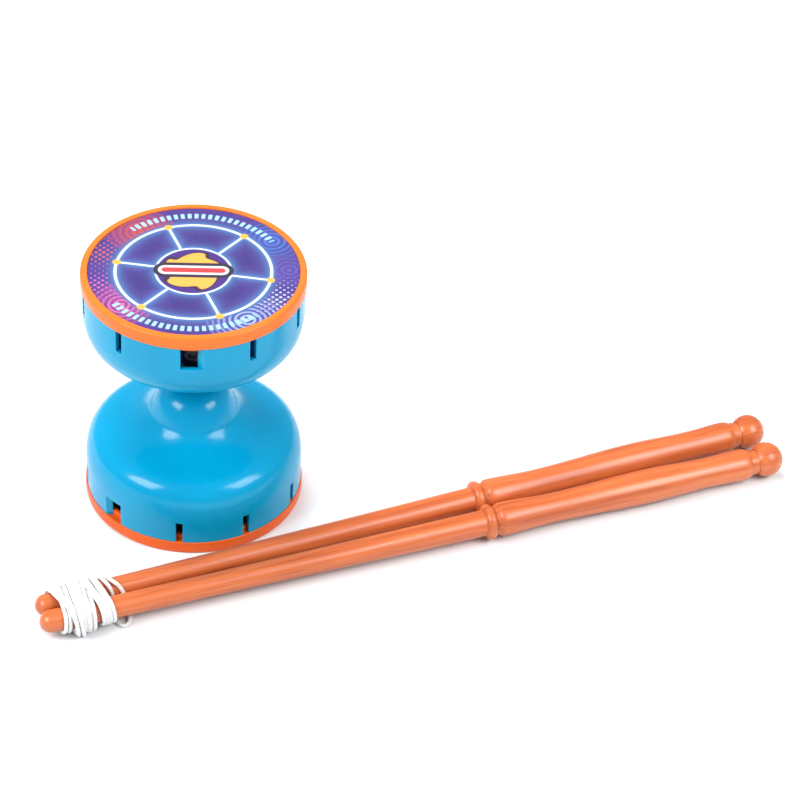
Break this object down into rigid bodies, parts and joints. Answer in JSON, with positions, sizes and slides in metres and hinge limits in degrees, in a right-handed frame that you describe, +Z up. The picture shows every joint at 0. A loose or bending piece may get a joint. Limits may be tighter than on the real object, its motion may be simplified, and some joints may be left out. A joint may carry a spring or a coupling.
{
  "type": "diabolo set",
  "caption": "Hourglass spinning spool with whistle slots in its cups, and a pair of turned handsticks tied together by their wound string.",
  "frame": {"origin": "middle of the spool's base, on the surface it stands on", "axes": "+Z up along the spool's axle; +X to the right along the long way of the set, with the handsticks in front of the spool (towards -Y)"},
  "size_m": [0.3293, 0.1519, 0.117],
  "materials": {
    "cup_plastic": "glossy moulded polypropylene, sky blue",
    "cap_plastic": "semi-gloss moulded plastic, orange",
    "label_print": "printed paper with a gloss film, violet with cyan and pink rings",
    "axle_steel": "turned and brushed",
    "fastener_zinc": "bright zinc plate",
    "stick_wood": "turned wood, stained orange-brown under satin lacquer",
    "string_cord": "white braided nylon"
  },
  "bodies": {
    "string": {"string_wrap": "string_cord", "string_loop": "string_cord"},
    "spool": {"lower_cup": "cup_plastic", "upper_cup": "cup_plastic", "lower_end_cap": "cap_plastic", "upper_end_cap": "cap_plastic", "lower_label": "label_print", "upper_label": "label_print", "axle_sleeve": "axle_steel", "axle_bolt": "fastener_zinc", "axle_nut": "fastener_zinc", "axle_washers": "fastener_zinc"},
    "left_stick": {"left_handstick": "stick_wood"},
    "right_stick": {"right_handstick": "stick_wood"}
  },
  "joints": [
    {"name": "spool_spin", "type": "hinge", "parent": "string", "child": "spool", "pos_m": [0, 0, 0], "axis": [0, 0, 1], "continuous": true},
    {"name": "left_stick_slide", "type": "slide", "parent": "string", "child": "left_stick", "axis": [0.9408, 0.3388, 0], "range_m": [0, 0.04]},
    {"name": "right_stick_slide", "type": "slide", "parent": "string", "child": "right_stick", "axis": [0.9508, 0.3099, 0], "range_m": [0, 0.04]}
  ]
}
